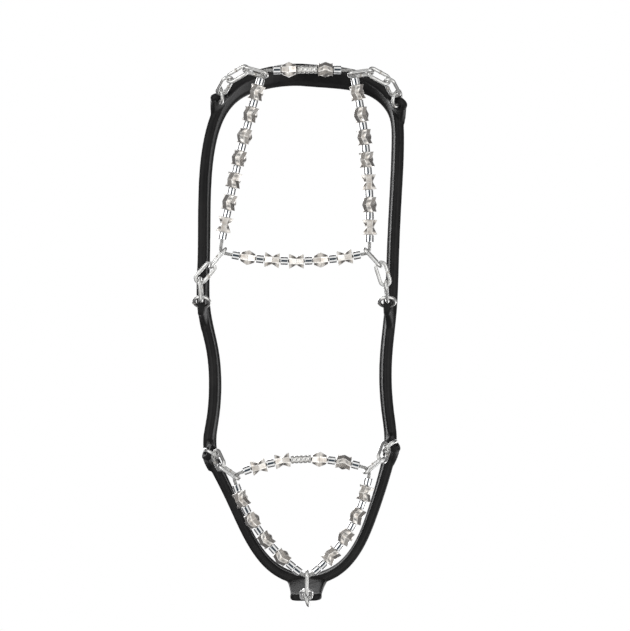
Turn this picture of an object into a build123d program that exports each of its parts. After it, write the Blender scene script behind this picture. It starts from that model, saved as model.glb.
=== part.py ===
from build123d import *
import math
import os

# Shoe ice cleats, as worn on a shoe.
# Z is up, the beads stand on z = 0, the toe is toward -Y and the heel toward +Y.
# All sizes are in millimetres.

# chain links
wire = 2.0
link_pitch_inside = 11.2
link_width_inside = 3.5
link_gap = 0.2
weld_radius = 1.15
weld_length = 1.8

# anchor rings
ring_radius = 4.3

# steel cable and what is threaded on it
cable_diameter = 1.8
cable_height = 4.37
bend_radius = 2.6
bead_length = 8.0
bead_strip = 1.5
bead_wide = 4.1
bead_narrow = 2.3
bead_valley = 2.15
bead_ridge = 4.2
bead_bore = 2.5
spacer_length = 4.1
spacer_diameter = 4.6
spacer_bore = 2.4
spacer_chamfer = 0.25
ferrule_length = 11.0
ferrule_diameter = 4.4
ferrule_groove = 0.35
ferrule_fit = 0.06

# rubber harness
rim_diameter = 5.4
rim_spacing = 11.0
web_thickness = 3.8
ear_thickness = 3.8
ear_round = 1.1
ear_hole_diameter = 4.2
ear_hole_offset = 4.45
ear_lip = 2.8
ear_embed = 1.2

# corners of the two cable loops, seen from above, counterclockwise
front_corners = [(-17.8, -141.2), (27.1, -141.3), (35.6, -46.1), (-40.5, -46.3)]
rear_corners = [(-33.1, 79.5), (35.6, 76.2), (4.1, 130.3)]

# one strand from each corner to the next: outward bow, what is threaded on it
# (s spacer, b bead, f ferrule), gap between neighbours, shift along the strand
front_strands = [
    ("toe", 0.4, "sbfbs", 0.5, -0.4),
    ("right", 3.0, "sbsbsbsbsbsbsbs", 0.12, -0.7),
    ("ball", 4.2, "sbsbsbsbsbs", 0.6, -0.8),
    ("left", 1.6, "sbsbsbsbsbsbsbs", 0.15, 1.0),
]
rear_strands = [
    ("heel_front", 6.5, "sbsbfbsbs", 0.6, 0.0),
    ("heel_right", 6.5, "sbsbsbsbss", 0.5, 0.0),
    ("heel_left", 5.5, "ssbsbsbsbs", 0.45, 0.0),
]

# turn of each bead about the cable: 0 has a ridge underneath, 90 a valley
bead_turns = {
    "toe": [90, 48],
    "right": [-38, -52, -44, -36, 4, -48, 0],
    "ball": [0, 88, 4, -4, 90],
    "left": [2, 42, 36, 50, 58, 44, 38],
    "heel_front": [-6, 8, 90, 52],
    "heel_right": [-34, -48, -56, -40],
    "heel_left": [52, 44, 58, 36],
}

# chain runs from a loop corner up to the harness: azimuth, elevation and roll of
# each link, where the ring hooks round the last crown, and the ring's own angles
chain_runs = {
    "front_left": (front_corners[0], [(195, 4, -22), (151, 16, 56), (122, 41, -53)], 0, (126, 71, 44)),
    "front_right": (front_corners[1], [(-8, 5, 20), (27, 17, -60), (59, 42, 51)], 0, (67, 49, 135)),
    "mid_right": (front_corners[2], [(47, 12, -6), (72, 13, -90), (84, 40, 3)], 0, (90, 55, 91)),
    "mid_left": (front_corners[3], [(129, 7, 10), (133, 11, -77), (86, 28, -7)], 0, (94, 51, 90)),
    "heel_left": (rear_corners[0], [(214, 8, 11), (242, 44, -61)], 38, (192, 67, -20)),
    "heel_right": (rear_corners[1], [(-38, 5, -10), (-68, 45, 62)], 38, (-11, 66, 29)),
    "heel_back": (rear_corners[2], [(91, 12, 0), (92, 66, -86)], 0, (254, 85, 0)),
}

# centre line of the rubber band, counterclockwise from the toe, and its inward lean
band_points = [
    (3.3, -145.7, 60, 38),
    (28.3, -142.7, 54, 32),
    (44.8, -135.2, 45, 20),
    (52.9, -123.7, 39.5, 10),
    (54.7, -107.7, 38, 8),
    (53.3, -72.7, 38, 8),
    (51.8, -37.7, 38.5, 8),
    (50.7, -12.7, 39, 8),
    (48.5, 9.3, 39.5, 8),
    (47.9, 27.3, 39.5, 8),
    (49.3, 45.3, 39, 8),
    (50.7, 60.3, 39, 8),
    (47.3, 79.3, 41, 6),
    (40.3, 102.3, 46, 3),
    (33.3, 119.3, 51, 2),
    (21.8, 133.3, 55, 2),
    (4.1, 139.3, 57, 2),
    (-13.7, 133.3, 55, 2),
    (-25.2, 120.3, 51, 2),
    (-34.2, 102.3, 46, 3),
    (-43.7, 81.3, 41, 6),
    (-50.1, 64.3, 39, 8),
    (-48.7, 48.3, 39, 8),
    (-47.3, 29.3, 39.5, 8),
    (-48.9, 9.3, 39.5, 8),
    (-53.3, -11.7, 39, 8),
    (-53.7, -37.7, 38.5, 8),
    (-53.2, -72.7, 38, 8),
    (-50.9, -102.7, 38, 8),
    (-44.7, -123.7, 39.5, 12),
    (-35.7, -135.7, 46, 22),
    (-19.7, -143.2, 54, 32),
]

# how each ear meets the band: the number of the nearest band point and the shift
# along the band from there, half width at the tip, half width at the band, and the
# turn of the ear's face away from its ring
ear_roots = {
    "front_left": (29, 3.0, 4.9, 9.5, 0),
    "front_right": (3, 1.0, 4.9, 9.5, 0),
    "mid_right": (7, 3.0, 4.9, 11.5, 0),
    "mid_left": (25, 1.0, 4.9, 11.5, 0),
    "heel_left": (21, -2.0, 4.9, 11.0, 0),
    "heel_right": (11, 3.0, 4.9, 11.0, 0),
    "heel_back": (16, 0.0, 8.8, 11.0, 15),
}

link_radius = (link_width_inside + wire) / 2
link_reach = link_pitch_inside + wire
up = Vector(0, 0, 1)


def direction(azimuth, elevation=0.0):
    a = math.radians(azimuth)
    e = math.radians(elevation)
    return Vector(math.cos(e) * math.cos(a), math.cos(e) * math.sin(a), math.sin(e))


def crown_direction(along, roll):
    left = up.cross(along).normalized()
    rise = along.cross(left)
    r = math.radians(roll)
    return rise * math.cos(r) + left * math.sin(r)


def toward(vector, reference):
    return vector if vector.dot(reference) > 0 else -vector


def chain_layout(corner, links, hook, ring):
    """Planes of the links, X along the link and Y across its crown, and the ring's plane."""
    start = Vector(corner[0], corner[1], cable_height)
    planes = []
    for azimuth, elevation, roll in links:
        along = direction(azimuth, elevation)
        across = crown_direction(along, roll)
        if planes:
            before = planes[-1]
            end = before.origin + before.x_dir * link_reach
            step = toward(across.cross(before.y_dir).normalized(), along)
            start = end - step * (wire + link_gap)
        planes.append(Plane(origin=start, x_dir=along, z_dir=along.cross(across)))
    last = planes[-1]
    t = math.radians(hook)
    centre = last.origin + last.x_dir * (link_reach - link_radius)
    held = centre + (last.x_dir * math.cos(t) + last.y_dir * math.sin(t)) * link_radius
    held_along = last.y_dir * math.cos(t) - last.x_dir * math.sin(t)
    rise = direction(ring[0], ring[1])
    across = crown_direction(rise, ring[2])
    step = toward(across.cross(held_along).normalized(), rise)
    middle = held - step * (wire + link_gap) + rise * ring_radius
    return planes, Plane(origin=middle, x_dir=rise, z_dir=rise.cross(across))


def turned(vector, angle):
    return vector.rotate(Axis.Z, math.degrees(angle))


def strand_layout(corners, strands):
    """Arc of each strand: both ends, the middle, the tangents and the radius."""
    points = [Vector(x, y, cable_height) for x, y in corners]
    arcs = []
    for i, (name, bow, pattern, gap, shift) in enumerate(strands):
        a = points[i]
        b = points[(i + 1) % len(points)]
        first = (b - a).normalized()
        last = first
        for step in range(60):
            p = a + turned(first, -math.pi / 2) * bend_radius
            q = b + turned(last, -math.pi / 2) * bend_radius
            chord = (q - p).normalized()
            half = 2 * math.atan(2 * bow / (q - p).length)
            first = turned(chord, -half)
            last = turned(chord, half)
        middle = (p + q) * 0.5 + turned(chord, -math.pi / 2) * bow
        radius = (q - p).length / 2 / math.sin(half)
        arcs.append((p, middle, q, first, last, radius))
    return points, arcs


def station(arc, distance):
    """Point and tangent at a distance along a strand."""
    p, middle, q, first, last, radius = arc
    angle = distance / radius
    centre = p + turned(first, math.pi / 2) * radius
    return centre + turned(p - centre, angle), turned(first, angle)


def arc_length(arc):
    p, middle, q, first, last, radius = arc
    return 2 * radius * math.asin((q - p).length / 2 / radius)


def threaded(arcs, strands):
    """Every bead, spacer and ferrule: kind, strand, number, point and tangent."""
    sizes = {"s": spacer_length, "b": bead_length, "f": ferrule_length}
    found = []
    for arc, (name, bow, pattern, gap, shift) in zip(arcs, strands):
        taken = sum(sizes[k] for k in pattern) + gap * (len(pattern) - 1)
        at = (arc_length(arc) - taken) / 2 + shift
        number = 0
        for kind in pattern:
            point, tangent = station(arc, at + sizes[kind] / 2)
            if kind == "b":
                number += 1
            found.append((kind, name, number, arc, point, tangent))
            at += sizes[kind] + gap
    return found


def across_plane(point, tangent, turn):
    """Plane square to the cable, its Y axis turned from vertical."""
    side = up.cross(tangent)
    r = math.radians(turn)
    ridge = up * math.cos(r) + side * math.sin(r)
    return Plane(origin=point, x_dir=ridge.cross(tangent), z_dir=tangent)


def bead_outline(half_x, half_y):
    s = bead_strip
    return [
        (half_x, -s),
        (half_x, s),
        (s, half_y),
        (-s, half_y),
        (-half_x, s),
        (-half_x, -s),
        (-s, -half_y),
        (s, -half_y),
    ]


def make_bead(plane):
    end_outline = bead_outline(bead_wide, bead_narrow)
    middle_outline = bead_outline(bead_valley, bead_ridge)
    with BuildPart() as bead:
        for shift, outline in (
            (-bead_length / 2, end_outline),
            (0, middle_outline),
            (bead_length / 2, end_outline),
        ):
            with BuildSketch(plane.offset(shift)):
                Polygon(*outline, align=None)
        loft(ruled=True)
        with BuildSketch(plane.offset(-bead_length / 2)):
            Circle(bead_bore / 2)
        extrude(amount=bead_length, mode=Mode.SUBTRACT)
    return bead.part


def make_spacer(plane):
    with BuildPart() as spacer:
        with BuildSketch(plane.offset(-spacer_length / 2)):
            Circle(spacer_diameter / 2)
            Circle(spacer_bore / 2, mode=Mode.SUBTRACT)
        extrude(amount=spacer_length)
        rims = spacer.edges().filter_by(GeomType.CIRCLE)
        chamfer(rims.filter_by(lambda e: e.radius > spacer_bore / 2 + 0.1), spacer_chamfer)
    return spacer.part


def make_ferrule(arc, point, tangent):
    side = up.cross(tangent)
    lengthwise = Plane(origin=point, x_dir=tangent, z_dir=up)
    r = ferrule_diameter / 2
    half = ferrule_length / 2
    outline = [(-half, 0), (-half, r - 0.3), (-half + 0.3, r)]
    for centre in (-3.6, -1.2, 1.2, 3.6):
        outline.append((centre - 0.8, r))
        outline.append((centre - 0.35, r - ferrule_groove))
        outline.append((centre + 0.35, r - ferrule_groove))
        outline.append((centre + 0.8, r))
    outline += [(half - 0.3, r), (half, r - 0.3), (half, 0)]
    with BuildPart() as ferrule:
        with BuildSketch(lengthwise):
            Polygon(*outline, align=None)
        revolve(axis=Axis(point, tangent))
        p, middle, q, first, last, radius = arc
        centre = p + turned(first, math.pi / 2) * radius
        reach = (half + 2.0) / radius
        before = centre + turned(point - centre, -reach)
        after = centre + turned(point - centre, reach)
        with BuildLine() as bore_path:
            ThreePointArc(before, point, after)
        with BuildSketch(Plane(origin=before, z_dir=turned(tangent, -reach))) as bore:
            Circle(cable_diameter / 2 + ferrule_fit)
        sweep(sections=bore.sketch, path=bore_path.line, mode=Mode.SUBTRACT)
    return ferrule.part


def make_cable(points, arcs):
    with BuildPart() as cable:
        with BuildLine() as path:
            for i, arc in enumerate(arcs):
                p, middle, q, first, last, radius = arc
                ThreePointArc(p, middle, q)
                corner = points[(i + 1) % len(points)]
                leaving = arcs[(i + 1) % len(arcs)]
                outward = (turned(last, -math.pi / 2) + turned(leaving[3], -math.pi / 2)).normalized()
                ThreePointArc(q, corner + outward * bend_radius, leaving[0])
        with BuildSketch(Plane(origin=arcs[0][0], z_dir=arcs[0][3])) as section:
            Circle(cable_diameter / 2)
        sweep(sections=section.sketch, path=path.wire())
    return cable.part


def make_link(plane):
    r = link_radius
    far = link_reach - link_radius
    with BuildPart() as link:
        with BuildLine(plane) as path:
            Line((r, r), (far, r))
            ThreePointArc((far, r), (far + r, 0), (far, -r))
            Line((far, -r), (r, -r))
            ThreePointArc((r, -r), (0, 0), (r, r))
        start = plane.from_local_coords((r, r, 0))
        with BuildSketch(Plane(origin=start, z_dir=plane.x_dir)) as section:
            Circle(wire / 2)
        sweep(sections=section.sketch, path=path.wire())
        weld = plane.from_local_coords((link_reach / 2 - weld_length / 2, r, 0))
        with BuildSketch(Plane(origin=weld, z_dir=plane.x_dir)):
            Circle(weld_radius)
        extrude(amount=weld_length)
    return link.part


def make_ring(plane):
    with BuildPart() as ring:
        with Locations(plane):
            Torus(ring_radius, wire / 2)
    return ring.part


def band_frame(number, shift):
    """Centre, direction and upward slant of the band near one of its points."""
    count = len(band_points)
    here = Vector(*band_points[number][:3])
    after = Vector(*band_points[(number + 1) % count][:3])
    before = Vector(*band_points[number - 1][:3])
    along = (after - before).normalized()
    inward = up.cross(along).normalized()
    lean = math.radians(band_points[number][3])
    slant = up * math.cos(lean) + inward * math.sin(lean)
    slant = (slant - along * slant.dot(along)).normalized()
    return here + along * shift, along, slant


def make_ear(ring, number, shift, half_tip, half_root, turn):
    hole = ring.origin + ring.x_dir * ear_hole_offset
    centre, along, slant = band_frame(number, shift)
    root = centre - slant * (rim_spacing / 2 - ear_embed)
    rise = (root - hole).normalized()
    outward = toward(ring.y_dir, along.cross(up)).rotate(Axis.Z, turn)
    tip_radius = ear_hole_diameter / 2 + ear_lip
    tip_along = rise.cross(outward)
    tip = Plane(origin=hole, x_dir=toward(tip_along, along), z_dir=outward)
    span = (root - hole).length
    with BuildPart() as ear:
        with BuildSketch(tip.offset(-ear_thickness / 2)):
            if half_tip > tip_radius:
                SlotOverall(2 * half_tip, 2 * tip_radius)
            else:
                Circle(tip_radius)
        extrude(amount=ear_thickness)
        flat = ear.faces().filter_by(lambda f: abs(f.normal_at().dot(outward)) > 0.99)
        fillet(flat.edges(), ear_round)
    with BuildPart() as neck:
        for share, half_width, thickness in (
            (0.8 / span, half_tip - 0.3, ear_thickness),
            (0.5, half_tip + 0.25 * (half_root - half_tip), ear_thickness + 0.2),
            (1.0, half_root, ear_thickness + 0.7),
        ):
            width_way = (tip.x_dir * (1 - share) + along * share).normalized()
            facing = (rise * (1 - share) + slant * share).normalized()
            facing = (facing - width_way * facing.dot(width_way)).normalized()
            place = Plane(origin=hole + rise * (span * share), x_dir=width_way, z_dir=facing)
            with BuildSketch(place):
                RectangleRounded(2 * half_width, thickness, ear_round)
        loft()
    with BuildPart() as whole:
        add(ear.part)
        add(neck.part)
        with BuildSketch(tip.offset(-ear_thickness)):
            Circle(ear_hole_diameter / 2)
        extrude(amount=2 * ear_thickness, mode=Mode.SUBTRACT)
    return whole.part


layouts = {name: chain_layout(*run) for name, run in chain_runs.items()}

# rubber harness
with BuildPart() as band:
    with BuildLine() as band_path:
        Spline(*[point[:3] for point in band_points], periodic=True)
    guide_points = []
    for number in range(len(band_points)):
        centre, along, slant = band_frame(number, 0)
        guide_points.append(centre + slant * 20)
    with BuildLine(mode=Mode.PRIVATE) as band_guide:
        Spline(*guide_points, periodic=True)
    band_along = band_path.line % 0
    band_up = (band_guide.line @ 0 - band_path.line @ 0).normalized()
    band_start = Plane(origin=band_path.line @ 0, x_dir=band_along.cross(band_up), z_dir=band_along)
    with BuildSketch(band_start) as profile:
        Rectangle(web_thickness, rim_spacing)
        with Locations((0, -rim_spacing / 2), (0, rim_spacing / 2)):
            Circle(rim_diameter / 2)
    sweep(sections=profile.sketch, path=band_path.wire(), binormal=band_guide.wire())

ears = {
    name: make_ear(layouts[name][1], *ear_roots[name])
    for name in ear_roots
}

with BuildPart() as harness:
    add(band.part)
    for ear in ears.values():
        add(ear)

# rings that hang in the ears
with BuildPart() as anchor_rings:
    for planes, ring in layouts.values():
        add(make_ring(ring))

front_points, front_arcs = strand_layout(front_corners, front_strands)
rear_points, rear_arcs = strand_layout(rear_corners, rear_strands)

with BuildPart() as front_cable:
    add(make_cable(front_points, front_arcs))

with BuildPart() as rear_cable:
    add(make_cable(rear_points, rear_arcs))

pieces = {
    "harness": harness.part,
    "anchor_rings": anchor_rings.part,
    "front_cable": front_cable.part,
    "rear_cable": rear_cable.part,
}

for end, arcs, strands in (("front", front_arcs, front_strands), ("rear", rear_arcs, rear_strands)):
    with BuildPart() as spacers:
        for kind, name, number, arc, point, tangent in threaded(arcs, strands):
            if kind == "s":
                add(make_spacer(across_plane(point, tangent, 0)))
    pieces[end + "_spacers"] = spacers.part
    for kind, name, number, arc, point, tangent in threaded(arcs, strands):
        if kind == "f":
            pieces[end + "_ferrule"] = make_ferrule(arc, point, tangent)
        if kind == "b":
            turn = bead_turns[name][number - 1]
            pieces["bead_%s_%d" % (name, number)] = make_bead(across_plane(point, tangent, turn))

for name, (planes, ring) in layouts.items():
    for number, plane in enumerate(planes, 1):
        pieces["link_%s_%d" % (name, number)] = make_link(plane)

os.makedirs("parts", exist_ok=True)
for name, part in pieces.items():
    part.label = name
    export_step(part, "parts/%s.step" % name)
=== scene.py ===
import bpy
import bmesh
import math
import random
import numpy
from mathutils import Matrix, Vector, noise


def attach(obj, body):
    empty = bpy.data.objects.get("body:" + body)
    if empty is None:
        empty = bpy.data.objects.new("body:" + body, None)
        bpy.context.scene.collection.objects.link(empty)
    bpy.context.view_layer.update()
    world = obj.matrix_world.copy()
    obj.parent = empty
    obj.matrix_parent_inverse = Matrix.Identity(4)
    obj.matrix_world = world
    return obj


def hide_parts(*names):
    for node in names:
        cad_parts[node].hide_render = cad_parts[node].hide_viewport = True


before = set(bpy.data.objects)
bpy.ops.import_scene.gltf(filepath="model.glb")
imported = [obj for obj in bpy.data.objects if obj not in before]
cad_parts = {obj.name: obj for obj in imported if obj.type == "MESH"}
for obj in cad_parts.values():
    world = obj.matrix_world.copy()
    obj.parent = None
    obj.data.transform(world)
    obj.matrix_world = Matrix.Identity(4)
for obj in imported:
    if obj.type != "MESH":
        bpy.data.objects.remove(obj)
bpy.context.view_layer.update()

# Looks of the shoe ice cleats. Lengths are in millimetres until a mesh is made.

MM = 0.001
NET_BODY = "harness_and_net"
UP = Vector((0, 0, 1))

# The sizes and layout tables below repeat part.py.
WIRE = 2.0
LINK_RADIUS = 2.75
LINK_REACH = 13.2
LINK_GAP = 0.2
RING_RADIUS = 4.3
CABLE_DIAMETER = 1.8
CABLE_HEIGHT = 4.37
BEND_RADIUS = 2.6
BEAD_LENGTH = 8.0
BEAD_STRIP = 1.5
BEAD_WIDE = 4.1
BEAD_NARROW = 2.3
BEAD_VALLEY = 2.15
BEAD_RIDGE = 4.2
BEAD_BORE = 2.5
SPACER_LENGTH = 4.1
SPACER_DIAMETER = 4.6
SPACER_BORE = 2.4
FERRULE_LENGTH = 11.0
FERRULE_DIAMETER = 4.4
RIM_SPACING = 11.0
RIM_DIAMETER = 5.4

FRONT_CORNERS = [(-17.8, -141.2), (27.1, -141.3), (35.6, -46.1), (-40.5, -46.3)]
REAR_CORNERS = [(-33.1, 79.5), (35.6, 76.2), (4.1, 130.3)]

# strand, outward bow, what is threaded on it, gap between neighbours, shift along
FRONT_STRANDS = [
    ("toe", 0.4, "sbfbs", 0.5, -0.4),
    ("right", 3.0, "sbsbsbsbsbsbsbs", 0.12, -0.7),
    ("ball", 4.2, "sbsbsbsbsbs", 0.6, -0.8),
    ("left", 1.6, "sbsbsbsbsbsbsbs", 0.15, 1.0),
]
REAR_STRANDS = [
    ("heel_front", 6.5, "sbsbfbsbs", 0.6, 0.0),
    ("heel_right", 6.5, "sbsbsbsbss", 0.5, 0.0),
    ("heel_left", 5.5, "ssbsbsbsbs", 0.45, 0.0),
]
BEAD_TURNS = {
    "toe": [90, 48],
    "right": [-38, -52, -44, -36, 4, -48, 0],
    "ball": [0, 88, 4, -4, 90],
    "left": [2, 42, 36, 50, 58, 44, 38],
    "heel_front": [-6, 8, 90, 52],
    "heel_right": [-34, -48, -56, -40],
    "heel_left": [52, 44, 58, 36],
}
CHAIN_RUNS = {
    "front_left": (FRONT_CORNERS[0], [(195, 4, -22), (151, 16, 56), (122, 41, -53)], 0, (126, 71, 44)),
    "front_right": (FRONT_CORNERS[1], [(-8, 5, 20), (27, 17, -60), (59, 42, 51)], 0, (67, 49, 135)),
    "mid_right": (FRONT_CORNERS[2], [(47, 12, -6), (72, 13, -90), (84, 40, 3)], 0, (90, 55, 91)),
    "mid_left": (FRONT_CORNERS[3], [(129, 7, 10), (133, 11, -77), (86, 28, -7)], 0, (94, 51, 90)),
    "heel_left": (REAR_CORNERS[0], [(214, 8, 11), (242, 44, -61)], 38, (192, 67, -20)),
    "heel_right": (REAR_CORNERS[1], [(-38, 5, -10), (-68, 45, 62)], 38, (-11, 66, 29)),
    "heel_back": (REAR_CORNERS[2], [(91, 12, 0), (92, 66, -86)], 0, (254, 85, 0)),
}
BAND_POINTS = [
    (3.3, -145.7, 60, 38), (28.3, -142.7, 54, 32), (44.8, -135.2, 45, 20), (52.9, -123.7, 39.5, 10),
    (54.7, -107.7, 38, 8), (53.3, -72.7, 38, 8), (51.8, -37.7, 38.5, 8), (50.7, -12.7, 39, 8),
    (48.5, 9.3, 39.5, 8), (47.9, 27.3, 39.5, 8), (49.3, 45.3, 39, 8), (50.7, 60.3, 39, 8),
    (47.3, 79.3, 41, 6), (40.3, 102.3, 46, 3), (33.3, 119.3, 51, 2), (21.8, 133.3, 55, 2),
    (4.1, 139.3, 57, 2), (-13.7, 133.3, 55, 2), (-25.2, 120.3, 51, 2), (-34.2, 102.3, 46, 3),
    (-43.7, 81.3, 41, 6), (-50.1, 64.3, 39, 8), (-48.7, 48.3, 39, 8), (-47.3, 29.3, 39.5, 8),
    (-48.9, 9.3, 39.5, 8), (-53.3, -11.7, 39, 8), (-53.7, -37.7, 38.5, 8), (-53.2, -72.7, 38, 8),
    (-50.9, -102.7, 38, 8), (-44.7, -123.7, 39.5, 12), (-35.7, -135.7, 46, 22), (-19.7, -143.2, 54, 32),
]


# ---- where everything is ----

def direction(azimuth, elevation=0.0):
    a = math.radians(azimuth)
    e = math.radians(elevation)
    return Vector((math.cos(e) * math.cos(a), math.cos(e) * math.sin(a), math.sin(e)))


def crown_direction(along, roll):
    left = UP.cross(along).normalized()
    rise = along.cross(left)
    r = math.radians(roll)
    return rise * math.cos(r) + left * math.sin(r)


def toward(vector, reference):
    return vector if vector.dot(reference) > 0 else -vector


def chain_layout(corner, links, hook, ring):
    """(origin, along, across) of each link from its start crown, and (middle, rise, across) of the ring."""
    start = Vector((corner[0], corner[1], CABLE_HEIGHT))
    placed = []
    for azimuth, elevation, roll in links:
        along = direction(azimuth, elevation)
        across = crown_direction(along, roll)
        if placed:
            origin, last_along, last_across = placed[-1]
            step = toward(across.cross(last_across).normalized(), along)
            start = origin + last_along * LINK_REACH - step * (WIRE + LINK_GAP)
        placed.append((start, along, across))
    origin, along, across = placed[-1]
    t = math.radians(hook)
    centre = origin + along * (LINK_REACH - LINK_RADIUS)
    held = centre + (along * math.cos(t) + across * math.sin(t)) * LINK_RADIUS
    held_along = across * math.cos(t) - along * math.sin(t)
    rise = direction(ring[0], ring[1])
    ring_across = crown_direction(rise, ring[2])
    step = toward(ring_across.cross(held_along).normalized(), rise)
    middle = held - step * (WIRE + LINK_GAP) + rise * RING_RADIUS
    return placed, (middle, rise, ring_across)


def turned(vector, angle):
    return Matrix.Rotation(angle, 3, "Z") @ vector


def strand_layout(corners, strands):
    """Arc of each strand: both ends, the end tangents and the radius."""
    points = [Vector((x, y, CABLE_HEIGHT)) for x, y in corners]
    arcs = []
    for i, (name, bow, pattern, gap, shift) in enumerate(strands):
        a = points[i]
        b = points[(i + 1) % len(points)]
        first = (b - a).normalized()
        last = first
        for step in range(60):
            p = a + turned(first, -math.pi / 2) * BEND_RADIUS
            q = b + turned(last, -math.pi / 2) * BEND_RADIUS
            chord = (q - p).normalized()
            half = 2 * math.atan(2 * bow / (q - p).length)
            first = turned(chord, -half)
            last = turned(chord, half)
        arcs.append((p, q, first, last, (q - p).length / 2 / math.sin(half)))
    return points, arcs


def arc_length(arc):
    p, q, first, last, radius = arc
    return 2 * radius * math.asin((q - p).length / 2 / radius)


def station(arc, distance):
    """Point and tangent at a distance along a strand."""
    p, q, first, last, radius = arc
    angle = distance / radius
    centre = p + turned(first, math.pi / 2) * radius
    return centre + turned(p - centre, angle), turned(first, angle)


def threaded(arcs, strands):
    """Every bead, spacer and ferrule: kind, strand, number, point and tangent."""
    sizes = {"s": SPACER_LENGTH, "b": BEAD_LENGTH, "f": FERRULE_LENGTH}
    found = []
    for arc, (name, bow, pattern, gap, shift) in zip(arcs, strands):
        taken = sum(sizes[k] for k in pattern) + gap * (len(pattern) - 1)
        at = (arc_length(arc) - taken) / 2 + shift
        number = 0
        for kind in pattern:
            point, tangent = station(arc, at + sizes[kind] / 2)
            number += kind == "b"
            found.append((kind, name, number, point, tangent))
            at += sizes[kind] + gap
    return found


def cable_line(points, arcs, step):
    """Points, tangents and distances along the closed cable, round every corner."""
    line = []
    travelled = 0.0
    for i, arc in enumerate(arcs):
        length = arc_length(arc)
        count = int(length / step)
        for k in range(count):
            point, tangent = station(arc, length * k / count)
            line.append((point, tangent, travelled + length * k / count))
        travelled += length
        corner = points[(i + 1) % len(points)]
        last = arc[3]
        leaving = arcs[(i + 1) % len(arcs)][2]
        bend = math.atan2(last.cross(leaving).z, last.dot(leaving))
        count = max(int(abs(bend) * BEND_RADIUS / step), 4)
        for k in range(count):
            angle = bend * k / count
            tangent = turned(last, angle)
            out = turned(tangent, -math.pi / 2)
            line.append((corner + out * BEND_RADIUS, tangent, travelled + BEND_RADIUS * angle))
        travelled += BEND_RADIUS * bend
    return line, travelled


# ---- mesh making ----

class Shell:
    """Vertices in millimetres, faces and per-vertex values of one piece."""

    def __init__(self):
        self.points = []
        self.faces = []
        self.values = {"along": [], "around": [], "mark": []}

    def skin(self, loops, along, around, mark, closed):
        """Joins loops of points. along has a value for each loop, around for each point of a
        loop, mark for each vertex."""
        base = len(self.points)
        n = len(loops[0])
        for i, loop in enumerate(loops):
            self.points += loop
            self.values["along"] += [along[i]] * n
            self.values["around"] += around
            self.values["mark"] += mark[i]
        for i in range(len(loops) if closed else len(loops) - 1):
            a = base + i * n
            b = base + (i + 1) % len(loops) * n
            for j in range(n):
                k = (j + 1) % n
                self.faces.append((a + j, a + k, b + k, b + j))

    def piece(self, name, body, slot_name, material, *nodes, crisp=None):
        """The shell as an object that rides a body and stands for CAD nodes."""
        mesh = bpy.data.meshes.new(name)
        mesh.from_pydata([tuple(p * MM) for p in self.points], [], self.faces)
        for key, numbers in self.values.items():
            attribute = mesh.attributes.new(key, "FLOAT", "POINT")
            attribute.data.foreach_set("value", numbers)
        working = bmesh.new()
        working.from_mesh(mesh)
        bmesh.ops.recalc_face_normals(working, faces=working.faces)
        working.to_mesh(mesh)
        working.free()
        mesh.shade_smooth()
        if crisp:
            mesh.set_sharp_from_angle(angle=math.radians(crisp))
        mesh.materials.append(material)
        made = bpy.data.objects.new(name, mesh)
        bpy.context.scene.collection.objects.link(made)
        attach(made, body)
        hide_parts(*nodes)
        return made


def circle(count):
    return [2 * math.pi * j / count for j in range(count)]


def lathe(shell, point, tangent, profile, segments, wobble):
    """Adds a closed ring of (distance along, radius) pairs turned about the tangent."""
    side = UP.cross(tangent).normalized()
    angles = circle(segments)
    loops = []
    for x, r in profile:
        loops.append([
            point + tangent * x
            + (side * math.cos(a) + UP * math.sin(a))
            * (r + wobble * noise.noise(point + Vector((x * 0.6, math.cos(a), math.sin(a)))))
            for a in angles
        ])
    shell.skin(loops, [x * MM for x, r in profile], [a * profile[len(profile) // 2][1] * MM for a in angles],
               [[0.0] * segments] * len(profile), True)


def rounded(corners, radius, steps):
    """A polyline's corners turned into short arcs. Each corner is a 2-D point."""
    made = []
    count = len(corners)
    for i, corner in enumerate(corners):
        before = (corners[i - 1] - corner).normalized()
        after = (corners[(i + 1) % count] - corner).normalized()
        to_next = (corners[(i + 1) % count] - corner).length
        cut = min(radius, 0.45 * (corners[i - 1] - corner).length, 0.45 * to_next)
        for k in range(steps + 1):
            t = k / steps
            made.append(corner + before * cut * (1 - t) ** 2 + after * cut * t ** 2)
    return made


# ---- materials ----

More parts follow.
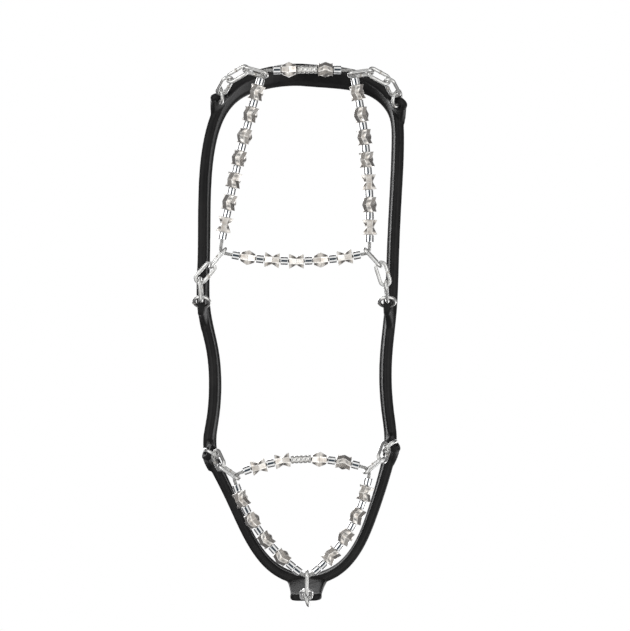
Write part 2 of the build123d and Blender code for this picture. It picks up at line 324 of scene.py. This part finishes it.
class Look:
    """A node material: a Principled shader, and short ways to add nodes to it."""

    def __init__(self, name, **shader):
        self.material = bpy.data.materials.new(name)
        self.material.use_nodes = True
        self.tree = self.material.node_tree
        self.shader = self.tree.nodes["Principled BSDF"]
        for socket, value in shader.items():
            self.shader.inputs[socket.replace("_", " ").title().replace("Ior", "IOR")].default_value = value
        self.place = self.add("ShaderNodeTexCoord").outputs["Object"]

    def add(self, kind, **settings):
        node = self.tree.nodes.new(kind)
        for key, value in settings.items():
            setattr(node, key, value)
        return node

    def join(self, source, target):
        self.tree.links.new(source, target)

    def attribute(self, name):
        return self.add("ShaderNodeAttribute", attribute_name=name).outputs["Fac"]

    def noise(self, scale, detail=3.0, roughness=0.55, where=None, distortion=0.0):
        node = self.add("ShaderNodeTexNoise")
        node.inputs["Scale"].default_value = scale
        node.inputs["Detail"].default_value = detail
        node.inputs["Roughness"].default_value = roughness
        node.inputs["Distortion"].default_value = distortion
        self.join(where or self.place, node.inputs["Vector"])
        return node.outputs["Fac"]

    def spread(self, value, low, high, to_low=0.0, to_high=1.0):
        node = self.add("ShaderNodeMapRange")
        node.inputs["From Min"].default_value = low
        node.inputs["From Max"].default_value = high
        node.inputs["To Min"].default_value = to_low
        node.inputs["To Max"].default_value = to_high
        self.join(value, node.inputs["Value"])
        return node.outputs["Result"]

    def maths(self, operation, a, b):
        node = self.add("ShaderNodeMath", operation=operation)
        for socket, value in zip(node.inputs, (a, b)):
            if isinstance(value, (int, float)):
                socket.default_value = value
            else:
                self.join(value, socket)
        return node.outputs[0]

    def mix(self, factor, a, b):
        node = self.add("ShaderNodeMix", data_type="RGBA")
        for socket, value in ((node.inputs["Factor"], factor), (node.inputs["A"], a), (node.inputs["B"], b)):
            if isinstance(value, tuple):
                socket.default_value = (*value, 1.0)
            else:
                self.join(value, socket)
        return node.outputs["Result"]

    def surface(self, x_scale, y_scale):
        """A vector that runs along and around the piece, for drawn and turned lines."""
        node = self.add("ShaderNodeCombineXYZ")
        self.join(self.maths("MULTIPLY", self.attribute("along"), x_scale), node.inputs["X"])
        self.join(self.maths("MULTIPLY", self.attribute("around"), y_scale), node.inputs["Y"])
        return node.outputs["Vector"]

    def colour(self, source):
        self.join(source, self.shader.inputs["Base Color"])

    def roughness(self, source):
        self.join(source, self.shader.inputs["Roughness"])

    def bumps(self, *layers):
        """Stacks (height, distance in metres, strength) bumps."""
        normal = None
        for height, distance, strength in layers:
            node = self.add("ShaderNodeBump")
            node.inputs["Strength"].default_value = strength
            node.inputs["Distance"].default_value = distance
            self.join(height, node.inputs["Height"])
            if normal:
                self.join(normal, node.inputs["Normal"])
            normal = node.outputs["Normal"]
        self.join(normal, self.shader.inputs["Normal"])


def plated_steel():
    """Bright zinc over drawn wire, dulled in patches, browned and rough at the weld."""
    look = Look("bright_zinc_plate", metallic=1.0)
    patches = look.noise(260, 4)
    grain = look.noise(2600, 3)
    drawn = look.noise(1.0, 2, where=look.surface(90, 2600))
    weld = look.spread(look.attribute("mark"), 0.05, 0.9)
    plate = look.mix(look.spread(patches, 0.38, 0.68), (0.82, 0.82, 0.81), (0.70, 0.695, 0.68))
    look.colour(look.mix(look.maths("MULTIPLY", weld, 0.55), plate, (0.36, 0.31, 0.25)))
    dull = look.spread(look.maths("ADD", patches, look.maths("MULTIPLY", grain, 0.5)), 0.45, 1.0, 0.28, 0.42)
    look.roughness(look.maths("ADD", dull, look.maths("MULTIPLY", weld, 0.2)))
    look.bumps((drawn, 0.000006, 0.3), (grain, 0.000006, 0.25), (patches, 0.00003, 0.15))
    return look.material


def spacer_steel():
    """Polished drawn tube with fine lines along it and a few handling dents."""
    look = Look("polished_tube_steel", metallic=1.0)
    lines = look.noise(1.0, 3, where=look.surface(60, 3400))
    smudges = look.noise(420, 3)
    scuffs = look.noise(1500, 4, 0.7)
    look.colour(look.mix(look.spread(smudges, 0.4, 0.7), (0.93, 0.935, 0.94), (0.74, 0.75, 0.76)))
    dull = look.maths("ADD", look.maths("MULTIPLY", lines, 0.5), smudges)
    look.roughness(look.spread(dull, 0.55, 1.1, 0.09, 0.22))
    nicks = look.spread(scuffs, 0.66, 0.76)
    look.bumps((lines, 0.000006, 0.4), (nicks, 0.00001, 0.2), (smudges, 0.00004, 0.12))
    return look.material


def bead_steel():
    """Hard steel with a dull tumbled plate: brownish where it is low, bright on rubbed edges."""
    look = Look("tumbled_bead_steel", metallic=1.0)
    cloud = look.noise(320, 5, 0.6)
    grain = look.noise(2200, 4, 0.65)
    pits = look.spread(look.noise(1300, 2), 0.60, 0.70)
    body = look.mix(look.spread(cloud, 0.36, 0.66), (0.80, 0.775, 0.74), (0.55, 0.505, 0.46))
    pitted = look.mix(look.maths("MULTIPLY", pits, 0.45), body, (0.33, 0.28, 0.23))
    rubbed = look.spread(look.attribute("mark"), 0.25, 0.95)
    look.colour(look.mix(rubbed, pitted, (0.90, 0.885, 0.86)))
    dull = look.spread(look.maths("ADD", cloud, look.maths("MULTIPLY", grain, 0.6)), 0.5, 1.1, 0.32, 0.46)
    look.roughness(look.maths("SUBTRACT", dull, look.maths("MULTIPLY", rubbed, 0.12)))
    look.bumps((pits, 0.00002, -0.35), (grain, 0.000015, 0.35), (cloud, 0.00005, 0.25))
    return look.material


def cable_steel():
    """Stranded rope wire: fine wires in each strand, with painted shade on the inner side of each strand,
    between the strands.
    """
    look = Look("stranded_cable_steel", metallic=1.0)
    lay = look.add("ShaderNodeCombineXYZ")
    twist = look.maths("ADD", look.maths("MULTIPLY", look.attribute("along"), 900), look.attribute("around"))
    look.join(twist, lay.inputs["X"])
    wires = look.add("ShaderNodeTexWave", wave_type="BANDS", bands_direction="X", wave_profile="SIN")
    wires.inputs["Scale"].default_value = 0.95
    wires.inputs["Distortion"].default_value = 0.0
    look.join(lay.outputs["Vector"], wires.inputs["Vector"])
    # outer is 1 on the outward side of each strand and 0 on its inner side. The near-black colour mixed in
    # there is painted shade between the strands.
    outer = look.spread(look.attribute("mark"), 0.15, 0.8)
    shine = look.mix(look.noise(500, 3), (0.78, 0.78, 0.77), (0.58, 0.575, 0.56))
    look.colour(look.mix(outer, (0.10, 0.095, 0.09), shine))
    look.roughness(look.spread(look.noise(1800, 3), 0.3, 0.7, 0.32, 0.48))
    look.bumps((wires.outputs["Fac"], 0.00006, 0.7))
    return look.material


def crimp_metal():
    """Pressed tin-plated copper sleeve, bright with fine die lines round it."""
    look = Look("crimped_sleeve_metal", metallic=1.0)
    lines = look.noise(1.0, 3, where=look.surface(3000, 80))
    cloud = look.noise(350, 3)
    look.colour(look.mix(look.spread(cloud, 0.35, 0.7), (0.84, 0.835, 0.82), (0.68, 0.67, 0.645)))
    look.roughness(look.spread(look.maths("ADD", lines, cloud), 0.7, 1.3, 0.36, 0.50))
    look.bumps((lines, 0.00001, 0.4), (cloud, 0.00006, 0.2))
    return look.material


def rubber():
    """Black moulded rubber: satin skin, faint grey bloom and the flash line of the mould."""
    look = Look("moulded_black_rubber", specular_ior_level=0.2)
    bloom = look.noise(55, 5, 0.62)
    skin = look.noise(1500, 4, 0.6)
    pores = look.noise(5200, 2)
    flash = look.spread(look.attribute("mark"), 0.3, 1.0)
    black = look.mix(look.spread(bloom, 0.42, 0.72), (0.0085, 0.0083, 0.0088), (0.021, 0.0205, 0.0205))
    look.colour(look.mix(look.maths("MULTIPLY", flash, 0.6), black, (0.035, 0.034, 0.034)))
    gloss = look.spread(look.maths("ADD", bloom, look.maths("MULTIPLY", skin, 0.5)), 0.45, 1.05, 0.46, 0.64)
    look.roughness(look.maths("ADD", gloss, look.maths("MULTIPLY", flash, 0.08)))
    look.bumps((flash, 0.00012, 0.8), (skin, 0.00003, 0.3), (pores, 0.00001, 0.35), (bloom, 0.0003, 0.1))
    return look.material


zinc = plated_steel()
polished = spacer_steel()
tumbled = bead_steel()
stranded = cable_steel()
crimped = crimp_metal()
black_rubber = rubber()


# ---- chain links and anchor rings ----

def link_path(origin, along, across):
    """Centres, outward directions and distances round a link, its weld on the +across bar."""
    far = LINK_REACH - LINK_RADIUS
    straight = far - LINK_RADIUS
    turn = math.pi * LINK_RADIUS
    total = 2 * (straight + turn)
    samples = []
    cuts = [straight * k / 30 for k in range(30)]
    cuts += [straight + turn * k / 20 for k in range(20)]
    cuts += [straight + turn + straight * k / 10 for k in range(10)]
    cuts += [2 * straight + turn + turn * k / 20 for k in range(20)]
    for s in cuts:
        if s < straight:
            x, y, out = LINK_RADIUS + s, LINK_RADIUS, across
        elif s < straight + turn:
            a = (s - straight) / LINK_RADIUS
            out = across * math.cos(a) + along * math.sin(a)
            x, y = far + LINK_RADIUS * math.sin(a), LINK_RADIUS * math.cos(a)
        elif s < 2 * straight + turn:
            x, y, out = far - (s - straight - turn), -LINK_RADIUS, -across
        else:
            a = (s - 2 * straight - turn) / LINK_RADIUS
            out = -across * math.cos(a) - along * math.sin(a)
            x, y = LINK_RADIUS - LINK_RADIUS * math.sin(a), -LINK_RADIUS * math.cos(a)
        samples.append((origin + along * x + across * y, out, s))
    return samples, straight / 2, total


def wire_loop(shell, samples, normal, weld_at, total, seed):
    """Round wire bent to a closed path, upset at the weld with a thin uneven burr."""
    angles = circle(20)
    draw = random.Random(seed)
    burr = [
        0.5 + 0.5 * math.sin(a * 2 + draw.uniform(0, 6.28)) * math.sin(a + draw.uniform(0, 6.28))
        for a in angles
    ]
    lean = draw.uniform(-0.2, 0.2)
    loops = []
    marks = []
    for centre, out, s in samples:
        loop = []
        mark = []
        for a, rough in zip(angles, burr):
            off = abs(s - weld_at - lean * math.cos(a))
            off = min(off, total - off)
            swell = 0.10 * math.exp(-(off / 0.75) ** 2)
            ridge = 0.05 * (0.4 + rough) * math.exp(-(off / 0.17) ** 2)
            groove = -0.05 * math.exp(-((off - 0.95) / 0.2) ** 2)
            way = out * math.cos(a) + normal * math.sin(a)
            grain = 0.006 * noise.noise(centre * 0.9 + way * 1.5)
            loop.append(centre + way * (WIRE / 2 - 0.02 + swell + ridge + groove + grain))
            mark.append(math.exp(-(off / 0.6) ** 2))
        loops.append(loop)
        marks.append(mark)
    shell.skin(loops, [s * MM for centre, out, s in samples], [a * MM for a in angles], marks, True)


layouts = {name: chain_layout(*run) for name, run in CHAIN_RUNS.items()}
rings = Shell()
for order, (name, (links, ring)) in enumerate(layouts.items()):
    for number, (origin, along, across) in enumerate(links, 1):
        seed = order * 10 + number
        shell = Shell()
        samples, weld_at, total = link_path(origin, along, across)
        wire_loop(shell, samples, along.cross(across), weld_at, total, seed)
        node = "link_%s_%d" % (name, number)
        shell.piece(node + "_wire", node, "plated_steel", zinc, node)
    middle, rise, across = ring
    total = 2 * math.pi * RING_RADIUS
    samples = []
    for a in circle(96):
        out = rise * math.cos(a) + across * math.sin(a)
        samples.append((middle + out * RING_RADIUS, out, a * RING_RADIUS))
    wire_loop(rings, samples, rise.cross(across), total * 0.21, total, 100 + order)
rings.piece("anchor_rings_wire", NET_BODY, "plated_steel", zinc, "anchor_rings")


# ---- cables ----

def make_cable(name, points, arcs, node):
    """Six round strands laid together, closed into the loop that the net is threaded on."""
    line, total = cable_line(points, arcs, 0.45)
    shell = Shell()
    strand_radius = CABLE_DIAMETER / 6
    lay_radius = CABLE_DIAMETER / 2 - strand_radius
    turns = round(total / 9.5)
    angles = circle(10)
    for strand in range(6):
        loops = []
        marks = []
        for point, tangent, s in line:
            side = UP.cross(tangent).normalized()
            twist = 2 * math.pi * (strand / 6 + turns * s / total)
            out = side * math.cos(twist) + UP * math.sin(twist)
            over = tangent.cross(out)
            centre = point + out * lay_radius
            loops.append([centre + (out * math.cos(a) + over * math.sin(a)) * strand_radius for a in angles])
            # The mark runs from 1 on the outer side of each strand to 0 on its inner side, where cable_steel
            # paints shade between the strands.
            marks.append([0.5 + 0.5 * math.cos(a) for a in angles])
        shell.skin(loops, [s * MM for p, t, s in line], angles, marks, True)
    return shell.piece(name, NET_BODY, "cable_steel", stranded, node)


front_points, front_arcs = strand_layout(FRONT_CORNERS, FRONT_STRANDS)
rear_points, rear_arcs = strand_layout(REAR_CORNERS, REAR_STRANDS)
make_cable("front_cable_strands", front_points, front_arcs, "front_cable")
make_cable("rear_cable_strands", rear_points, rear_arcs, "rear_cable")


# ---- beads, spacers and ferrules ----

def bead_shell(point, tangent, turn, seed):
    """A bead: two crossed bars, one waisted and one peaked, with edges rounded by tumbling."""
    side = UP.cross(tangent)
    r = math.radians(turn)
    ridge = UP * math.cos(r) + side * math.sin(r)
    wide = ridge.cross(tangent)
    half = BEAD_LENGTH / 2
    edge = 0.15
    per_side = 4
    shift = Vector((seed * 7.3, seed * 3.1, seed * 1.7))

    def outline(x, inset):
        t = min(math.sqrt(x * x + 0.03) / half, 1.0)
        half_x = BEAD_VALLEY + (BEAD_WIDE - BEAD_VALLEY) * t - inset
        half_y = BEAD_RIDGE + (BEAD_NARROW - BEAD_RIDGE) * t - inset
        s = BEAD_STRIP - inset * 0.6
        corners = [Vector(c) for c in (
            (half_x, -s), (half_x, s), (s, half_y), (-s, half_y),
            (-half_x, s), (-half_x, -s), (-s, -half_y), (s, -half_y))]
        soft = rounded(corners, edge, 2)
        loop = []
        worn = []
        for i in range(8):
            loop += soft[3 * i:3 * i + 3]
            worn += [0.55, 1.0, 0.55]
            start = soft[3 * i + 2]
            end = soft[(3 * i + 3) % 24]
            for k in range(1, per_side):
                loop.append(start.lerp(end, k / per_side))
                worn.append(0.0)
        return loop, worn

    stations = [(-half, edge * 0.95), (-half + 0.06, edge * 0.42), (-half + edge, 0.0)]
    steps = (0.15, 0.4, 0.8, 1.4, 2.0, 2.6, 3.2)
    stations += [(x, 0.0) for x in (*[-step for step in reversed(steps)], 0.0, *steps)]
    stations += [(half - edge, 0.0), (half - 0.06, edge * 0.42), (half, edge * 0.95)]
    loops = []
    marks = []
    along = []
    for x, inset in stations:
        flat, worn = outline(x, inset)
        middle_wear = 0.8 * math.exp(-(x / 0.25) ** 2)
        end_wear = 0.9 if abs(x) > half - edge else 0.0
        loop = []
        for p in flat:
            place = point + wide * p.x + ridge * p.y + tangent * x
            dent = 0.025 * noise.noise(place * 0.35 + shift) + 0.004 * noise.noise(place * 1.4 + shift)
            loop.append(place + (wide * p.x + ridge * p.y).normalized() * dent)
        loops.append(loop)
        marks.append([
            max(w, end_wear, middle_wear * (abs(p.y) > BEAD_RIDGE - 0.5)) for w, p in zip(worn, flat)
        ])
        along.append(x * MM)
    ends = [math.atan2(p.y, p.x) for p in outline(half, 0)[0]]
    bore = BEAD_BORE / 2
    lip = 0.15
    for x, r in ((half, bore + lip), (half - lip, bore), (0, bore), (lip - half, bore), (-half, bore + lip)):
        loops.append([point + tangent * x + (wide * math.cos(a) + ridge * math.sin(a)) * r for a in ends])
        marks.append([0.0] * len(ends))
        along.append(x * MM)
    shell = Shell()
    shell.skin(loops, along, [a * 3 * MM for a in ends], marks, True)
    return shell


def spacer_profile():
    """A cut tube with its lips rounded over: (distance along, radius) round its wall."""
    half = SPACER_LENGTH / 2
    outer = SPACER_DIAMETER / 2 - 0.02
    inner = SPACER_BORE / 2
    lip = 0.25
    front = [(-half, inner + 0.12), (-half, outer - lip)]
    front += [(-half + lip - lip * math.cos(t), outer - lip + lip * math.sin(t)) for t in (0.5, 1.05)]
    front += [(-half + lip, outer), (-half + 0.9, outer)]
    back = [(-x, r) for x, r in reversed(front)]
    return front + [(0.0, outer)] + back + [(half - 0.12, inner), (-half + 0.12, inner)]


def ferrule_profile():
    """A sleeve pressed in four rings: (distance along, radius) round its wall."""
    half = FERRULE_LENGTH / 2
    outer = FERRULE_DIAMETER / 2
    bore = CABLE_DIAMETER / 2 + 0.06
    wall = [(-half, bore), (-half, outer - 0.35), (-half + 0.12, outer - 0.1), (-half + 0.35, outer)]
    steps = 64
    for k in range(steps + 1):
        x = -half + 0.5 + (FERRULE_LENGTH - 1.0) * k / steps
        pressed = sum(math.exp(-((x - c) / 0.42) ** 2) for c in (-3.6, -1.2, 1.2, 3.6))
        wall.append((x, outer - 0.35 * pressed))
    return wall + [(half - 0.35, outer), (half - 0.12, outer - 0.1), (half, outer - 0.35), (half, bore)]


for end, arcs, strands in (("front", front_arcs, FRONT_STRANDS), ("rear", rear_arcs, REAR_STRANDS)):
    spacers = Shell()
    for order, (kind, name, number, point, tangent) in enumerate(threaded(arcs, strands)):
        if kind == "s":
            lathe(spacers, point, tangent, spacer_profile(), 36, 0.012)
        elif kind == "f":
            sleeve = Shell()
            lathe(sleeve, point, tangent, ferrule_profile(), 40, 0.05)
            sleeve.piece(end + "_ferrule_sleeve", NET_BODY, "crimp_metal", crimped, end + "_ferrule")
        else:
            node = "bead_%s_%d" % (name, number)
            seed = order + (0 if end == "front" else 50)
            made = bead_shell(point, tangent, BEAD_TURNS[name][number - 1], seed)
            made.piece(node + "_steel", node, "bead_steel", tumbled, node, crisp=9)
    spacers.piece(end + "_spacer_tubes", NET_BODY, "spacer_steel", polished, end + "_spacers")


# ---- rubber harness ----

HARNESS_VOXEL = 0.55
HARNESS_SMOOTHING = 7
FLASH_WIDTH = 0.42
BAND_SAMPLES = 1600
BATCH = 4000


def closed_spline(points, count):
    """Smooth closed curve through points, as count samples with their point numbers."""
    data = numpy.array(points, float)
    n = len(data)
    after = numpy.roll(data, -1, axis=0)
    h = numpy.linalg.norm(after[:, :3] - data[:, :3], axis=1)
    slope = (after - data) / h[:, None]
    matrix = numpy.zeros((n, n))
    right = numpy.zeros_like(data)
    for i in range(n):
        matrix[i, i - 1] = h[i]
        matrix[i, i] = 2 * (h[i - 1] + h[i])
        matrix[i, (i + 1) % n] = h[i - 1]
        right[i] = 3 * (h[i] * slope[i - 1] + h[i - 1] * slope[i])
    tangents = numpy.linalg.solve(matrix, right)
    edges = numpy.concatenate(([0], numpy.cumsum(h)))
    samples = []
    for s in numpy.linspace(0, edges[-1], count, endpoint=False):
        i = min(int(numpy.searchsorted(edges, s, side="right")) - 1, n - 1)
        t = (s - edges[i]) / h[i]
        a, b = data[i], data[(i + 1) % n]
        da, db = tangents[i] * h[i], tangents[(i + 1) % n] * h[i]
        samples.append((2 * t**3 - 3 * t**2 + 1) * a + (t**3 - 2 * t**2 + t) * da
                       + (3 * t**2 - 2 * t**3) * b + (t**3 - t**2) * db)
    return numpy.array(samples)


def make_harness():
    """The moulded harness with soft fillets at the ears, and its mould line marked."""
    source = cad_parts["harness"]
    mesh = source.data.copy()
    mesh.name = "harness_rubber"
    made = bpy.data.objects.new("harness_rubber", mesh)
    bpy.context.scene.collection.objects.link(made)
    remesh = made.modifiers.new("remesh", "REMESH")
    remesh.mode = "VOXEL"
    remesh.voxel_size = HARNESS_VOXEL * MM
    smooth = made.modifiers.new("smooth", "SMOOTH")
    smooth.factor = 0.5
    smooth.iterations = HARNESS_SMOOTHING
    depsgraph = bpy.context.evaluated_depsgraph_get()
    final = bpy.data.meshes.new_from_object(made.evaluated_get(depsgraph))
    made.modifiers.clear()
    made.data = final
    band = closed_spline(BAND_POINTS, BAND_SAMPLES)
    centres = band[:, :3]
    tangents = numpy.roll(centres, -1, axis=0) - numpy.roll(centres, 1, axis=0)
    tangents /= numpy.linalg.norm(tangents, axis=1)[:, None]
    inward = numpy.cross((0, 0, 1), tangents)
    inward /= numpy.linalg.norm(inward, axis=1)[:, None]
    lean = numpy.radians(band[:, 3])[:, None]
    slant = numpy.array((0, 0, 1)) * numpy.cos(lean) + inward * numpy.sin(lean)
    slant -= tangents * (slant * tangents).sum(1)[:, None]
    slant /= numpy.linalg.norm(slant, axis=1)[:, None]
    facing = numpy.cross(tangents, slant)
    points = numpy.empty(len(final.vertices) * 3)
    final.vertices.foreach_get("co", points)
    points = points.reshape(-1, 3) / MM
    marks = numpy.zeros(len(points))
    for first in range(0, len(points), BATCH):
        chunk = points[first:first + BATCH]
        nearest = ((chunk[:, None, :2] - centres[None, :, :2]) ** 2).sum(2).argmin(1)
        off = chunk - centres[nearest]
        height = (off * slant[nearest]).sum(1)
        out = (off * facing[nearest]).sum(1)
        on_rim = numpy.abs(height) > RIM_SPACING / 2 + 0.4 * RIM_DIAMETER
        marks[first:first + BATCH] = numpy.exp(-(out / FLASH_WIDTH) ** 2) * on_rim
    attribute = final.attributes.new("mark", "FLOAT", "POINT")
    attribute.data.foreach_set("value", marks)
    final.shade_smooth()
    final.materials.clear()
    final.materials.append(black_rubber)
    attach(made, NET_BODY)
    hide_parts("harness")


make_harness()


# ---- floor, light and camera ----

def one_sided_floor():
    """A pale floor that shows from above and lets the camera look through it from underneath."""
    bpy.ops.mesh.primitive_plane_add(size=8.0, location=(0, 0, -0.0002))
    floor = bpy.context.object
    floor.name = "floor"
    look = Look("pale_floor", roughness=0.8)
    tone = look.noise(35, 4)
    look.colour(look.mix(look.spread(tone, 0.3, 0.7), (0.86, 0.86, 0.855), (0.83, 0.83, 0.825)))
    clear = look.add("ShaderNodeBsdfTransparent")
    sides = look.add("ShaderNodeMixShader")
    look.join(look.add("ShaderNodeNewGeometry").outputs["Backfacing"], sides.inputs[0])
    look.join(look.shader.outputs[0], sides.inputs[1])
    look.join(clear.outputs[0], sides.inputs[2])
    look.join(sides.outputs[0], look.tree.nodes["Material Output"].inputs["Surface"])
    floor.data.materials.append(look.material)
    floor.visible_diffuse = False
    floor.visible_glossy = False
    floor.visible_transmission = False
    floor.visible_shadow = False


def studio_world():
    """White to the camera; to the object a bright band low down, a dim top and a dark lens."""
    world = bpy.data.worlds.new("studio")
    bpy.context.scene.world = world
    world.use_nodes = True
    nodes = world.node_tree.nodes
    links = world.node_tree.links
    ray = nodes.new("ShaderNodeLightPath")
    place = nodes.new("ShaderNodeTexCoord")
    parts = nodes.new("ShaderNodeSeparateXYZ")
    links.new(place.outputs["Generated"], parts.inputs[0])
    height = nodes.new("ShaderNodeMapRange")
    height.inputs["From Min"].default_value = -1.0
    height.inputs["From Max"].default_value = 1.0
    links.new(parts.outputs["Z"], height.inputs["Value"])
    ramp = nodes.new("ShaderNodeValToRGB")
    links.new(height.outputs["Result"], ramp.inputs[0])
    tones = [
        (0.0, (0.04, 0.055, 0.07)),
        (0.05, (0.05, 0.065, 0.08)),
        (0.08, (0.95, 0.95, 0.94)),
        (0.30, (1.0, 0.99, 0.97)),
        (0.40, (0.24, 0.24, 0.245)),
        (0.52, (0.09, 0.09, 0.095)),
        (0.78, (0.13, 0.13, 0.135)),
        (0.90, (0.22, 0.22, 0.225)),
        (1.0, (0.50, 0.50, 0.51)),
    ]
    elements = ramp.color_ramp.elements
    elements[0].position, elements[0].color = tones[0][0], (*tones[0][1], 1)
    elements[1].position, elements[1].color = tones[-1][0], (*tones[-1][1], 1)
    for position, tone in tones[1:-1]:
        elements.new(position).color = (*tone, 1)
    seen = nodes.new("ShaderNodeMix")
    seen.data_type = "RGBA"
    links.new(ray.outputs["Is Camera Ray"], seen.inputs["Factor"])
    links.new(ramp.outputs[0], seen.inputs["A"])
    seen.inputs["B"].default_value = (1, 1, 1, 1)
    links.new(seen.outputs["Result"], nodes["Background"].inputs["Color"])


def softbox(name, place, size, power, aim=(0, 0, 0.02)):
    lamp = bpy.data.lights.new(name, "AREA")
    lamp.shape = "RECTANGLE"
    lamp.size, lamp.size_y = size
    lamp.energy = power
    made = bpy.data.objects.new(name, lamp)
    made.location = place
    made.rotation_mode = "QUATERNION"
    made.rotation_quaternion = (Vector(aim) - Vector(place)).to_track_quat("-Z", "Y")
    made.visible_camera = False
    bpy.context.scene.collection.objects.link(made)


def skylight(power, spread):
    """Even light from straight above, so that the far floor stays pale."""
    lamp = bpy.data.lights.new("skylight", "SUN")
    lamp.energy = power
    lamp.angle = spread
    bpy.context.scene.collection.objects.link(bpy.data.objects.new("skylight", lamp))


def photo_camera():
    """Straight below the net, toe up, with a long lens."""
    distance = 1.6
    frame_width = 0.3451
    lens = bpy.data.cameras.new("camera")
    lens.sensor_width = 36.0
    lens.lens = 36.0 * distance / frame_width
    lens.clip_start, lens.clip_end = 0.01, 50.0
    camera = bpy.data.objects.new("camera", lens)
    camera.location = (0.0085, -0.0097, CABLE_HEIGHT * MM - distance)
    camera.rotation_euler = (math.pi, 0, 0)
    bpy.context.scene.collection.objects.link(camera)
    bpy.context.scene.camera = camera


one_sided_floor()
studio_world()
skylight(1.1, 1.2)
softbox("overhead", (-0.5, -0.4, 1.1), (0.9, 0.9), 8)
softbox("overhead_far", (0.8, 0.6, 0.8), (0.6, 0.6), 4)
softbox("underneath_left", (-0.8, -0.2, -0.9), (0.5, 1.0), 3)
softbox("underneath_right", (0.8, 0.3, -0.8), (0.5, 1.0), 2)
photo_camera()
bpy.context.scene.view_settings.view_transform = "Standard"
